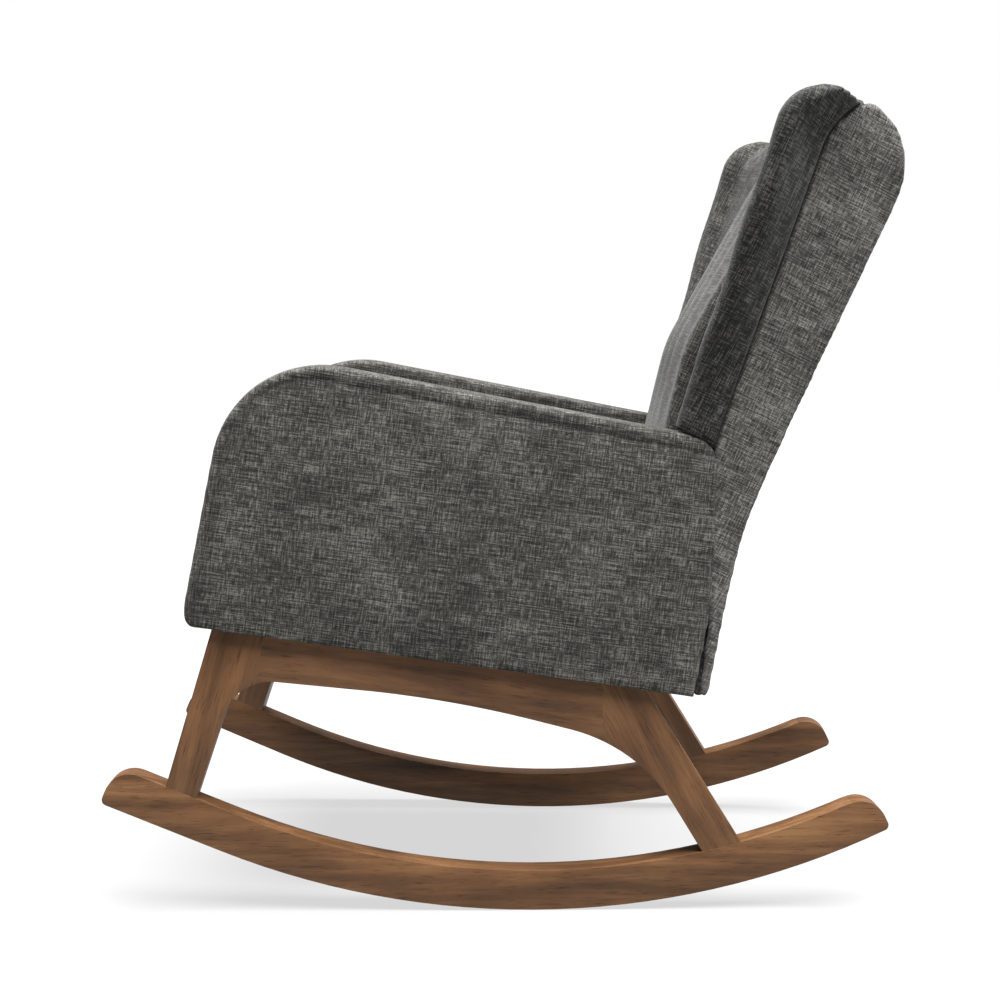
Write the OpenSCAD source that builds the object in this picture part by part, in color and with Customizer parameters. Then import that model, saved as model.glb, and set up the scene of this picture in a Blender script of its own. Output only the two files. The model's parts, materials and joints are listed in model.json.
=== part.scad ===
// Wing rocking chair: a bent side frame on each side, standing on a rocker, carries an
// upholstered body that leans back. The chair faces -Y, +Z is up, and the origin is on
// the floor in the middle of the chair.

/* [Rockers] */
// Length of a rocker, tip to tip, along the floor
rocker_l = 940; // [860:5:1010]
// Radius of the rocker's floor arc
rocker_r = 985; // [850:1:1150]
// Depth of the rocker board, from the floor arc to its top
rocker_d = 48; // [40:1:60]
// Thickness of the boards of the side frames
board_t = 38; // [30:1:46]
// Distance of the floor contact behind the middle of the chair
contact_y = 44; // [20:1:60]
// Place behind which the rocker is bent; in front of it the rocker is straight
bend_start_y = -330; // [-360:5:-290]

/* [Side frames] */
// Width of the base over the outer faces of the boards, at the middle of the chair
base_w = 575; // [500:5:660]
// Toe-out of each side, wider at the front
toe = 2.4; // [0:0.1:4]
// Height of the seat body's underside above the floor, at the middle of the chair
seat_z = 292; // [260:2:340]
// Lean of the seat body, down towards the rear
seat_tilt = 8.2; // [4:0.1:12]
// Diameter of the dowels in the frame joints
dowel_d = 10; // [6:1:12]
// Length of the dowels
dowel_l = 56; // [40:2:64]
// Thickness of the two cross rails
cross_t = 30; // [22:1:36]
// Depth of the two cross rails
cross_d = 46; // [40:1:60]

/* [Hardware] */
// Diameter of the bolts that hold the base to the seat frame and the legs to the rockers
bolt_d = 8; // [6:1:10]
// Diameter of the bolt heads
head_d = 15; // [12:1:17]
// Height of the bolt heads
head_h = 5; // [4:0.5:8]
// Diameter of the washers
washer_d = 19; // [17:1:22]
// Thickness of the washers
washer_t = 1.6; // [1:0.2:2.5]
// Depth of the counterbores under the rockers
counterbore = 14; // [10:1:18]
// Gap all round a bolt in its hole
bolt_gap = 0.4; // [0.2:0.1:1]
// Diameter of the spring wire of the seat
wire_d = 3.8; // [3:0.2:4.4]
// Number of seat springs
spring_count = 5; // [3:1:6]

/* [Seat body] */
// Width of the seat body over the arms, at the middle of the chair
body_w = 600; // [520:5:680]
// Thickness of an arm
arm_t = 75; // [66:1:100]
// Height of an arm above the seat body's underside, at its front
arm_h = 333; // [290:5:360]
// Front of the arm, in front of the middle of the chair
arm_front = 377; // [360:1:390]
// Rear end of the arm panel at its lower edge
arm_rear = 246; // [235:1:250]
// Radius of the arm's front corner
arm_corner_r = 128; // [80:2:150]
// Thickness of the arm frame boards
frame_t = 28; // [20:1:30]
// Padding over the outside of the frame boards
outer_pad = 12; // [8:1:16]
// Padding over the edges of the frame boards
edge_pad = 18; // [14:1:24]
// Depth of the seat rails
rail_d = 45; // [38:1:50]
// Thickness of the seat cushion
cushion_t = 85; // [60:5:110]
// Gap between the loose cushion and its neighbours
cushion_gap = 3; // [2:0.5:6]

/* [Back] */
// Length of the back along its lean, above the bend in the posts
back_l = 508; // [440:4:560]
// Lean of the back against the seat body's upright
back_lean = 17.1; // [10:0.1:22]
// Reach of a wing in front of the back's rear face, at the arm
wing_low = 116; // [100:1:130]
// Reach of a wing in front of the back's rear face, at the top
wing_high = 184; // [140:1:200]
// Thickness of a wing at its nose
wing_t = 52; // [40:1:60]
// Distance that the top of a wing flares outwards
wing_flare = 78; // [0:2:90]
// Fullness of the inside back's padding at the lumbar
lumbar = 139; // [125:1:145]
// Depth of the back posts
post_d = 35; // [28:1:40]
// Thickness of the padded panel on the rear face
rear_pad = 12; // [8:1:14]

/* [Hidden] */

$fn = 96;
wood = "#6b4a35";
pale_wood = "#c8a878";
cloth = "#55544f";
steel = "#9a9ca0";
fit = 0.05;                       // radial gap of a dowel or a plug in its hole
clear = 1;                        // gap between the padding and the frame in it
toe_play = 2.5;                   // room for the toe where a side meets a piece square to the chair
far = 2000;                       // longer than anything in the chair

half_w = base_w / 2;
board_x = half_w - board_t;       // inner face of a side frame
arm_x = body_w / 2;               // outer face of an arm
frame_x = arm_x - outer_pad - clear - frame_t;
arm_in = arm_x - arm_t;           // inner face of an arm
seat_slope = tan(seat_tilt);
rocker_tip = rocker_l / 2;

// Rounds each corner [x, y, radius] of an outline with an arc.
function unit(v) = v / norm(v);
function corner(p, q, s, r, n) = r == 0 ? [q] :
    let (a = unit(p - q), b = unit(s - q), half = acos(a * b) / 2,
         c = q + unit(a + b) * (r / sin(half)),
         from = q + a * (r / tan(half)) - c, to = q + b * (r / tan(half)) - c,
         turn = atan2(from.x * to.y - from.y * to.x, from * to), start = atan2(from.y, from.x))
    [for (i = [0:n]) c + r * [cos(start + turn * i / n), sin(start + turn * i / n)]];
function rounded(pts, n = 10) = let (m = len(pts))
    [for (i = [0:m - 1]) each corner(flat(pts[(i + m - 1) % m]), flat(pts[i]),
                                     flat(pts[(i + 1) % m]), pts[i].z, n)];
function flat(p) = [p.x, p.y];

// Turns an outline drawn in (rearward, up) into a board from x0 to x1.
module board(x0, x1) { translate([x0, 0, 0]) rotate([90, 0, 90]) linear_extrude(x1 - x0) children(); }
// The left side of the chair is +X; "side" is 1 for the left and -1 for the right.
// Each side is turned by the toe about an upright line in the outer face of its frame.
module toed(side) {
    mirror([side < 0 ? 1 : 0, 0, 0]) translate([half_w, 0, 0]) rotate([0, 0, toe])
        translate([-half_w, 0, 0]) children();
}
module seat_frame() { translate([0, 0, seat_z]) rotate([-seat_tilt, 0, 0]) children(); }
// Everything between the two toed planes that stand x from the middle
module between_sides(x) {
    spread = tan(toe);
    at = half_w - (half_w - x) / cos(toe);
    intersection() {
        children();
        translate([0, 0, -far / 2]) linear_extrude(far) polygon([
            [-at - spread * far, -far], [at + spread * far, -far], [at - spread * far / 2, far / 2],
            [-at + spread * far / 2, far / 2]]);
    }
}

// ---------------------------------------------------------------- rockers
tip_trim = 2;                     // what the rounding takes off a tip's length
bend_a = asin((bend_start_y - contact_y) / rocker_r);
rear_a = asin((rocker_tip + tip_trim - contact_y) / rocker_r);
nose_l = (rocker_tip + tip_trim + bend_start_y) / cos(bend_a);
tip_top_r = 32;
tip_low_r = 7;

module around_arc(a) { translate([contact_y, rocker_r]) rotate(a) translate([0, -rocker_r]) children(); }
// The wood beyond a rounded corner of radius r, where the board's corner is at the origin
module corner_waste(r) { difference() { translate([-r, -r]) square(2 * r); translate([-r, -r]) circle(r); } }
module tip_waste() {
    translate([0, rocker_d]) corner_waste(tip_top_r);
    mirror([0, 1]) corner_waste(tip_low_r);
}
module rocker_outline() {
    difference() {
        translate([contact_y, rocker_r]) circle(rocker_r, $fn = 360);
        translate([contact_y, rocker_r]) circle(rocker_r - rocker_d, $fn = 360);
        around_arc(bend_a) translate([-far, -far / 2]) square([far, far * 2]);
        around_arc(rear_a) translate([0, -far / 2]) square([far, far * 2]);
        translate([-far / 2, rocker_r / 2]) square(far);
        around_arc(rear_a) tip_waste();
    }
    around_arc(bend_a) difference() {
        translate([-nose_l, 0]) square([nose_l, rocker_d]);
        translate([-nose_l, 0]) mirror([1, 0]) tip_waste();
    }
}
// All the space above a rocker's top
module above_rocker() {
    translate([contact_y, rocker_r]) circle(rocker_r - rocker_d, $fn = 360);
    around_arc(bend_a) translate([-far, rocker_d]) square([far, far]);
}

// ------------------------------------------------------------ side frames
// Outline of the frame, in (y, z): the two legs' outer edges and the seat body's underside
front_leg_y = -337;               // front edge of the front leg, at the seat body
rear_leg_y = 177;                 // rear edge of the rear leg, at the seat body
front_leg_a = 16.7;               // lean of the front leg's front edge
rear_leg_a = 31.9;                // lean of the rear leg's rear edge
function underside(y) = seat_z - seat_slope * y;
function down(y, a, z) = [y - (underside(y) - z) * tan(a), z];
arch_low = 40;
module frame_outline() {
    polygon([[front_leg_y, underside(front_leg_y)], [rear_leg_y, underside(rear_leg_y)],
             down(rear_leg_y, -rear_leg_a, arch_low), down(front_leg_y, front_leg_a, arch_low)]);
}
// The arch under the rail: front corner, the long sweep, and the turn into the rear leg
arch_front = [-309, underside(-309) - 55];
arch_sweep = [-57, underside(-57) - 44];
arch_rear = [168, underside(168) - 70];
module arch() {
    polygon(rounded([
        [arch_front.x - (arch_front.y - arch_low) * tan(18.6), arch_low, 0],
        [arch_front.x, arch_front.y, 58], [arch_sweep.x, arch_sweep.y, 1400],
        [arch_rear.x, arch_rear.y, 205],
        [arch_rear.x + (arch_rear.y - arch_low) / 1.64, arch_low, 0]], 14));
}
front_joint_y = -275.5;           // glue line of the front leg, at the seat body
front_joint_a = 10;               // lean of that glue line
rear_joint_y = 126;               // glue line of the rear leg, upright

module before_front_joint() {
    translate([front_joint_y, underside(front_joint_y)]) rotate(-front_joint_a)
        translate([-far, -far / 2]) square([far, far]);
}
module after_rear_joint() { translate([rear_joint_y, 0]) square(far); }
module frame_board(side) {
    toed(side) board(board_x, half_w) intersection() {
        difference() { frame_outline(); arch(); }
        above_rocker();
        children();
    }
}
// Dowels in pairs across the two glue lines of a side frame, "grow" larger than the dowel
module side_dowels(side, grow) {
    toed(side) for (drop = [16, 42]) {
        translate([half_w - board_t / 2, front_joint_y - drop * tan(front_joint_a),
                   underside(front_joint_y) - drop])
            rotate([90 - front_joint_a, 0, 0]) cylinder(d = dowel_d + grow, h = dowel_l + grow, center = true);
        translate([half_w - board_t / 2, rear_joint_y, underside(rear_joint_y) - drop - 4])
            rotate([90, 0, 0]) cylinder(d = dowel_d + grow, h = dowel_l + grow, center = true);
    }
}
// The bolt through the rocker into each leg stands on the leg's own centre line.
leg_bolts = [[-371, 138, 17.6], [266, 62, -31.6]];
leg_bolt_l = 84;
module at_leg_bolts(side) {
    toed(side) for (b = leg_bolts)
        translate([half_w - board_t / 2, b.x, b.y]) rotate([-b.z, 0, 0]) children();
}
// z = 0 is near the middle of the rocker's depth; the head is below and the thread above
bolt_low = -rocker_d / 2 - 8;
head_z = bolt_low + counterbore + 3;
module leg_bolt_hole() {
    translate([0, 0, head_z]) cylinder(d = bolt_d + 2 * fit, h = leg_bolt_l + fit);
    translate([0, 0, head_z - 60]) cylinder(d = head_d + 2 * fit, h = 60);
}

module rocker(side) {
    color(wood) difference() {
        toed(side) board(board_x, half_w) rocker_outline();
        at_leg_bolts(side) leg_bolt_hole();
    }
}
module front_leg(side) {
    color(wood) difference() {
        frame_board(side) before_front_joint();
        side_dowels(side, 2 * fit);
        at_leg_bolts(side) leg_bolt_hole();
        rail_dowels(2 * fit);
    }
}
module side_rail(side) {
    color(wood) difference() {
        frame_board(side) difference() {
            translate([-far / 2, 0]) square(far);
            before_front_joint();
            after_rear_joint();
        }
        side_dowels(side, 2 * fit);
    }
}
module rear_leg(side) {
    color(wood) difference() {
        frame_board(side) after_rear_joint();
        side_dowels(side, 2 * fit);
        at_leg_bolts(side) leg_bolt_hole();
        rail_dowels(2 * fit);
    }
}

// ------------------------------------------- cross rails and their joints
front_cross_u = -336;             // front face of the front cross rail, along the seat body
rear_cross_u = 136;               // front face of the rear cross rail
cross_us = [front_cross_u, rear_cross_u];
bolt_x = 126;                     // base bolts, either side of the middle, between two springs
bolt_us = [for (u = cross_us) u + cross_t / 2];

module cross_bar(u) {
    between_sides(board_x) seat_frame() translate([-far / 2, u, -cross_d]) cube([far, cross_t, cross_d]);
}
// A pair of dowels in each end of each cross rail
module rail_dowels(grow) {
    for (side = [-1, 1], u = bolt_us, drop = [13, cross_d - 13])
        seat_frame() translate([side * (board_x - u * tan(toe)), u, -drop]) rotate([0, 90, 0])
            cylinder(d = dowel_d + grow, h = dowel_l - 8 + grow, center = true);
}
module at_base_bolts() { seat_frame() for (x = [-bolt_x, bolt_x], u = bolt_us) translate([x, u, 0]) children(); }
head_pocket = 10;                 // depth of the bolt heads' pockets in the cross rails
module base_bolt_hole(z0, z1) {
    at_base_bolts() translate([0, 0, z0]) cylinder(d = bolt_d + 2 * bolt_gap, h = z1 - z0);
}
module cross_rail(u) {
    color(wood) difference() {
        cross_bar(u);
        base_bolt_hole(-cross_d - 1, 1);
        at_base_bolts() translate([0, 0, -cross_d - 1]) cylinder(d = washer_d + 2, h = head_pocket + 1);
        rail_dowels(2 * fit);
    }
}
block = 52;
// Triangular glue blocks behind the front rail and before the rear rail
module corner_blocks() {
    color(pale_wood) between_sides(board_x) seat_frame()
        for (side = [-1, 1], end = [[front_cross_u + cross_t, 1], [rear_cross_u, -1]])
            translate([side * (board_x - end[0] * tan(toe) - fit), end[0], -cross_d + 8])
                linear_extrude(cross_d - 18) polygon([
                    [side * 20, 0], [side * 20, end[1] * block], [-side * 4, end[1] * block],
                    [-side * block, end[1] * 4], [-side * block, 0]]);
}
module frame_dowels() {
    color(pale_wood) {
        side_dowels(1, 0);
        side_dowels(-1, 0);
        rail_dowels(0);
    }
}
module rocker_bolts() {
    color(steel) for (side = [-1, 1]) at_leg_bolts(side) {
        translate([0, 0, head_z]) cylinder(d = bolt_d, h = leg_bolt_l);
        difference() {
            translate([0, 0, head_z - head_h]) cylinder(d = head_d, h = head_h);
            translate([0, 0, head_z - head_h - 1]) cylinder(d = 6, h = 3.5, $fn = 6);
        }
    }
}
plug_inset = 1.2;                 // the plugs stay this far inside the floor arc
module rocker_plugs() {
    color(wood) for (side = [-1, 1]) intersection() {
        at_leg_bolts(side) translate([0, 0, head_z - head_h - 1 - 60]) cylinder(d = head_d, h = 60);
        toed(side) board(board_x, half_w) {
            translate([contact_y, rocker_r]) circle(rocker_r - plug_inset, $fn = 360);
            around_arc(bend_a) translate([-nose_l, plug_inset]) square([nose_l, rocker_d]);
        }
    }
}
rail_z = 3;                       // underside of the seat rails, above the base
rail_top = rail_z + rail_d;
bolt_top = rail_top + 4;
module base_bolts() {
    color(steel) at_base_bolts() {
        z = -cross_d + head_pocket - washer_t;
        translate([0, 0, z]) cylinder(d = bolt_d, h = bolt_top - z);
        difference() {
            translate([0, 0, z - head_h]) cylinder(d = head_d - 1, h = head_h);
            translate([0, 0, z - head_h - 1]) cylinder(d = 6, h = 3.5, $fn = 6);
        }
    }
}
module base_washers() {
    color(steel) at_base_bolts() translate([0, 0, -cross_d + head_pocket - washer_t]) difference() {
        cylinder(d = washer_d, h = washer_t);
        translate([0, 0, -1]) cylinder(d = bolt_d + 2 * bolt_gap, h = washer_t + 2);
    }
}
nut_d = 10.6;                     // barrel of a tee nut
nut_flange_d = 20;
nut_flange_t = 1.4;
module tee_nuts() {
    color(steel) at_base_bolts() difference() {
        union() {
            translate([0, 0, rail_top - 12]) cylinder(d = nut_d, h = 12);
            translate([0, 0, rail_top]) cylinder(d = nut_flange_d, h = nut_flange_t);
        }
        translate([0, 0, rail_z]) cylinder(d = bolt_d + 2 * fit, h = far);
    }
}

// -------------------------------------------------------------- seat frame
front_rail_u = -arm_front + 32;   // front of the seat frame
rear_rail_u = rear_cross_u - 2;
post_foot_u = arm_rear - 14 - post_d;
module seat_rail(u, w) {
    color(pale_wood) difference() {
        between_sides(frame_x) seat_frame() translate([-far / 2, u, rail_z]) cube([far, w, rail_d]);
        base_bolt_hole(rail_z - 1, rail_top + 1);
        at_base_bolts() translate([0, 0, rail_top - 12 - 1]) cylinder(d = nut_d + 2 * fit, h = far);
    }
}
module seat_rail_side(side) {
    color(pale_wood) seat_frame() toed(side)
        board(frame_x, frame_x + frame_t) translate([front_rail_u, rail_z])
            square([post_foot_u - front_rail_u, rail_d]);
}
// Outline of an arm in (rearward, up), "inset" smaller all round
arm_drop = 0.0464;                // fall of the arm's top towards the rear
module arm_outline(inset) {
    rear_h = arm_h - arm_drop * (arm_front + arm_rear - 42);
    polygon(rounded([
        [-arm_front + inset, inset, 22 - inset], [-arm_front + 18 + inset, arm_h - inset, arm_corner_r - inset],
        [arm_rear - 24.5 - inset, rear_h - inset, 42 - inset], [arm_rear - inset, inset, 0]], 12));
}
arm_post_w = 55;
arm_board_d = 42;
module arm_line(drop) {
    // the strip under the arm's top, from "drop" below it down to the arm board's underside
    translate([-arm_front, arm_h - edge_pad - clear - drop]) rotate(-atan(arm_drop))
        translate([0, -arm_board_d]) square([far, arm_board_d]);
}
arm_board_front = front_rail_u + 42;
module arm_post(side) {
    color(pale_wood) seat_frame() toed(side) board(frame_x, frame_x + frame_t) difference() {
        translate([front_rail_u, rail_top]) square([arm_post_w, arm_h - rail_top - 108]);
        arm_line(0);
    }
}
module arm_board(side) {
    color(pale_wood) seat_frame() toed(side) board(frame_x, frame_x + frame_t) intersection() {
        union() { arm_line(8); translate([front_rail_u, arm_h - 108]) square([arm_post_w, 70]); }
        translate([front_rail_u, 0]) square([post_foot_u - front_rail_u, far]);
        arm_outline(edge_pad + clear);
    }
}

// -------------------------------------------------------------------- back
// Frame of the back: the origin is at the bend of its rear face, h runs up the lean and
// w runs rearwards, so the back lies at negative w.
bend = [255, 207];
foot_u = bend.x - 7;
module back_frame() { seat_frame() translate([0, bend.x, bend.y]) rotate([-back_lean, 0, 0]) children(); }
function lean(w, h) = [bend.x + w * cos(back_lean) + h * sin(back_lean),
                       bend.y - w * sin(back_lean) + h * cos(back_lean)];
function leant(w, h, r) = [lean(w, h).x, lean(w, h).y, r];
top_r = 72;                       // radius of the rear top corner
nose_r = 74;                      // radius of the wing's front top corner
post_top = back_l - 63;
module rear_strip(w0, w1, h1) {
    // a strip that follows the rear face, from w0 to w1 behind it
    polygon(rounded([
        [foot_u + w0, rail_z, 0], [bend.x + w0, bend.y, 490 + w0], leant(w0, h1, 0),
        leant(w1, h1, 0), [bend.x + w1, bend.y, 490 + w1], [foot_u + w1, rail_z, 0]], 8));
}
post_w = -rear_pad - 3;           // rear face of the posts
module back_post(side) {
    color(pale_wood) seat_frame() toed(side) board(frame_x, frame_x + frame_t)
        rear_strip(post_w, post_w - post_d, post_top);
}
module back_rail(h, d) {
    color(pale_wood) between_sides(frame_x) back_frame()
        translate([-far / 2, post_w - 24, h]) cube([far, 22, d]);
}
module back_bottom_rail() {
    color(pale_wood) between_sides(frame_x) seat_frame()
        translate([-far / 2, post_foot_u + 4, rail_z]) cube([far, 26, rail_d]);
}

// Rings of a wing, in (x, w) at height h: smooth rules for where its nose and seam are
function ramp(h, a, b) = let (s = min(1, max(0, (h - a) / (b - a)))) s * s * (3 - 2 * s);
function nose_w(h) = let (line = -wing_low - (wing_high - wing_low) * (h - 77) / (back_l - 77),
                          s = max(0, h - back_l + nose_r)) line + nose_r - sqrt(nose_r * nose_r - s * s);
function seam_w(h) = let (s = max(0, h - back_l + 70)) -57 - 0.108 * h + s * s / 150;
function nose_x(h) = arm_x - wing_t / 2 + 2 + wing_flare * ramp(h, 40, 430);
function seam_x(h) = arm_x + 0.25 * wing_flare * ramp(h, 120, 430);
wing_root = arm_in;
function root_w(h) = max(nose_w(h) + wing_t / 2 + 2, -108);
wing_back = post_w - post_d - 1.5; // rear face of a wing, in front of the post
crown = 26;                       // rounding of the top edge
function shrink(h) = let (s = max(0, h - back_l + crown)) crown - sqrt(crown * crown - s * s);
function wing_ring(h) = let (k = shrink(h), n = nose_w(h), x = nose_x(h), r = wing_t / 2)
    [for (p = [
        [arm_x - k, wing_back], [seam_x(h) - k, seam_w(h)], [x + r - 4 - k, n + 0.9 * r], [x + 0.80 * r - k, n + 0.42 * r],
        [x + 0.45 * r - k, n + 0.1 * r], [x, n], [x - 0.45 * r, n + 0.1 * r],
        [x - 0.80 * r + k, n + 0.42 * r], [x - r + k, n + r], [wing_root + k, root_w(h)],
        [wing_root + k, wing_back]]) [p.x, p.y, h]];
// A solid through a stack of rings, each listed clockwise as seen from above
module loft(rings) {
    m = len(rings[0]);
    n = len(rings);
    polyhedron([for (r = rings) each r], [
        [for (i = [m - 1:-1:0]) i],
        for (j = [0:n - 2], i = [0:m - 1]) each [
            [j * m + i, (j + 1) * m + (i + 1) % m, (j + 1) * m + i],
            [j * m + i, j * m + (i + 1) % m, (j + 1) * m + (i + 1) % m]],
        [for (i = [0:m - 1]) (n - 1) * m + i]], convexity = 6);
}
wing_hs = [50, 90, 130, 170, 210, 250, 290, 330, 370, 405, 430, 450, 468, 482, 493, 502];
// The plywood that stiffens a wing, "grow" larger all round
board_hs = [86, 130, 180, 230, 280, 330, 380, 420];
function plywood_ring(h, grow) = let (w0 = post_w - post_d - 1 + grow, w1 = nose_w(h) + 30 - grow,
                                      x0 = frame_x + 12, x1 = nose_x(h) - 16, t = 6 + grow)
    [for (p = [[x0 + t, w0], [x1 + t, w1], [x1 - t, w1], [x0 - t, w0]]) [p.x, p.y, h]];
module plywood(grow) {
    top = board_hs[len(board_hs) - 1];
    hs = [for (h = board_hs) if (h < top) h];
    loft([for (h = concat(grow > 0 ? [wing_hs[0] - 10] : [], hs, [top + grow])) plywood_ring(h, grow)]);
}
// Everything of a wing stands in the toed plane of its side.
module wing_space(side) { seat_frame() toed(side) translate([0, bend.x, bend.y]) rotate([-back_lean, 0, 0]) children(); }
module wing_board(side) { color(pale_wood) wing_space(side) plywood(0); }
module wing_cover(side) {
    color(cloth) difference() {
        wing_space(side) difference() {
            loft([for (h = wing_hs) wing_ring(h)]);
            plywood(clear);
        }
        // the wing stands on the arm
        seat_frame() toed(side) board(arm_in - 10, arm_x + wing_flare) arm_outline(-clear);
    }
}
// Padding over the outer face of a back post, from the arm up to the crown
module back_side(side) {
    color(cloth) seat_frame() toed(side) board(frame_x + frame_t + clear, arm_x) difference() {
        rear_strip(-rear_pad - 2, wing_back + 1, post_top);
        translate([0, -1]) square([arm_rear + 60, 121]);
        polygon([[0, 0], [arm_rear - 6, 0], [arm_rear - 6, 119], [arm_rear - 20, 293], [0, 293]]);
    }
}
// Bar of padding over the top rail, as wide as the back
module back_crown() {
    color(cloth) between_sides(arm_x - 1) seat_frame() board(-arm_x, arm_x) polygon([
        lean(wing_back + 1, post_top + 4), lean(-28, post_top + 4), lean(-28, back_l - 39),
        lean(wing_back + 1, back_l - 21)]);
}

// ------------------------------------------------------------ soft solids
module arm_cover(side) {
    color(cloth) seat_frame() toed(side) difference() {
        board(arm_in, arm_x) arm_outline(0);
        board(frame_x - clear, frame_x + frame_t + clear) union() {
            arm_outline(edge_pad);
            translate([-arm_front + edge_pad, -1]) square([arm_rear + arm_front, rail_top + 40]);
            rear_strip(post_w + clear, post_w - post_d - clear, post_top);
        }
        // the inner padding stops at the seat deck
        board(arm_in - 1, frame_x) translate([-arm_front + edge_pad, -1]) square([far, deck_top + 1]);
        // the back's own padding takes the arm's rear edge
        board(arm_in - 1, arm_x + 1) polygon([[arm_rear - 7, 119], [arm_rear - 21.7, 293],
            [arm_rear + 60, 400], [arm_rear + 60, 119]]);
        board(arm_in - 1, arm_x + 1) {
            rear_strip(60, -rear_pad - clear - toe_play, 130);
            translate([foot_u - rear_pad - clear - toe_play, -1]) square([60, rail_z + 2]);
        }
    }
}
deck_top = rail_top + wire_d + 6;
cushion_z = deck_top + 0.5;
cushion_front = arm_front - 8;
inside_front = 150;               // front of the inside back, at the seat
module inside_back() {
    w1 = post_w - post_d - 2;
    color(cloth) between_sides(arm_in - 1) difference() {
        seat_frame() board(-arm_x, arm_x) polygon(rounded([
            [inside_front, deck_top + 1, 12], [inside_front, 215, 200], leant(-lumbar, 175, 160),
            leant(-116, back_l - 9, 44), leant(-70, back_l - 9, 0), leant(w1, back_l - 23, 0),
            [bend.x + w1, bend.y, 440], [foot_u + w1, deck_top + 1, 0]], 12));
    }
}
module outside_back() {
    color(cloth) difference() {
        between_sides(arm_x - 0.5) seat_frame() board(-arm_x, arm_x) polygon(rounded([
            [foot_u, 0, 4], [bend.x, bend.y, 490], leant(0, back_l, top_r), leant(-100, back_l, 0),
            leant(-100, back_l - 8, 0), leant(-rear_pad, back_l - 8, top_r - rear_pad),
            [bend.x - rear_pad, bend.y, 490 - rear_pad], [foot_u - rear_pad, 0, 0]], 12));
        // in front of the posts it passes between the wings
        for (side = [-1, 1]) wing_space(side)
            translate([wing_root - clear, -wing_high, 0]) cube([arm_t + 20, wing_high + wing_back + clear, back_l + 10]);
    }
}
module front_border() {
    color(cloth) between_sides(arm_in - 0.6) seat_frame() board(-arm_x, arm_x) polygon(rounded([
        [-arm_front + 5, rail_z, 10], [-arm_front + 5, deck_top, 14], [front_rail_u + 30, deck_top, 0],
        [front_rail_u + 30, rail_top + 6.5, 0], [front_rail_u - 1, rail_top + 6.5, 0], [front_rail_u - 1, rail_z, 0]]));
}
module seat_deck() {
    color("#2b2b2b") between_sides(arm_in - 1) seat_frame()
        translate([-arm_x, front_rail_u + 31, deck_top - 5]) cube([2 * arm_x, inside_front - front_rail_u - 32, 5]);
}
module dust_cover() {
    color("#202020") between_sides(frame_x + 20) seat_frame() difference() {
        translate([-arm_x, front_rail_u + 2, 0.8]) cube([2 * arm_x, post_foot_u - front_rail_u + 26, 1]);
        for (x = [-bolt_x, bolt_x], u = bolt_us) translate([x, u, 0]) cylinder(d = bolt_d + 4, h = 4);
    }
}
module seat_cushion() {
    color(cloth) between_sides(arm_in - cushion_gap) seat_frame() board(-arm_x, arm_x) polygon(rounded([
        [-cushion_front, cushion_z, 16], [-cushion_front, cushion_z + cushion_t, 30],
        [inside_front - cushion_gap, cushion_z + cushion_t, 24], [inside_front - cushion_gap, cushion_z, 8]]));
}
zip_l = 2 * arm_in - 70;
module cushion_zip() {
    color("#1c1c1c") seat_frame() translate([-zip_l / 2, inside_front - cushion_gap, cushion_z + cushion_t / 2 - 5])
        cube([zip_l, 1.6, 10]);
}

// -------------------------------------------------------- springs, webbing
spring_z = rail_top + wire_d / 2;
spring_from = front_rail_u + 20;
spring_to = rear_rail_u + 22;
loops = 16;
pitch = (spring_to - spring_from) / loops;
run = 16;                         // straight part of each crossing
spring_pitch = 84;
function spring_x(i) = (i - (spring_count - 1) / 2) * spring_pitch;
module at_springs() { seat_frame() for (i = [0:spring_count - 1]) translate([spring_x(i), 0, spring_z]) children(); }
// A spring is a zigzag wire, drawn flat with a square section.
module zigzag() {
    for (k = [0:loops]) translate([-run / 2, spring_from + k * pitch - wire_d / 2]) square([run, wire_d]);
    for (k = [0:loops - 1]) translate([(k % 2 == 0 ? 1 : -1) * run / 2, spring_from + (k + 0.5) * pitch])
        difference() {
            circle(d = pitch + wire_d, $fn = 48);
            circle(d = pitch - wire_d, $fn = 48);
            translate([k % 2 == 0 ? -pitch : 0, -pitch]) square([pitch, 2 * pitch]);
        }
}
module seat_springs() {
    color(steel) at_springs() translate([0, 0, -wire_d / 2]) linear_extrude(wire_d) zigzag();
}
module spring_clips() {
    color(steel) at_springs() for (u = [spring_from, spring_to]) translate([0, u, 0]) difference() {
        translate([-6, -6, -wire_d / 2]) cube([12, 12, wire_d + 1.6]);
        translate([-7, -wire_d / 2 - fit, -wire_d]) cube([14, wire_d + 2 * fit, 1.5 * wire_d + fit]);
    }
}
strap_w = 50;
strap_t = 2;
module back_webbing() {
    w0 = post_w - 24 - strap_t - 0.2;
    color("#3a3a38") between_sides(frame_x - 2) back_frame() {
        for (i = [-1.5:1:1.5]) translate([i * 104 - strap_w / 2, w0, 72]) cube([strap_w, strap_t, post_top - 90]);
        for (h = [150, 240, 330]) translate([-far / 2, w0 - strap_t - 0.3, h]) cube([far, strap_t, strap_w]);
    }
}

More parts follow.
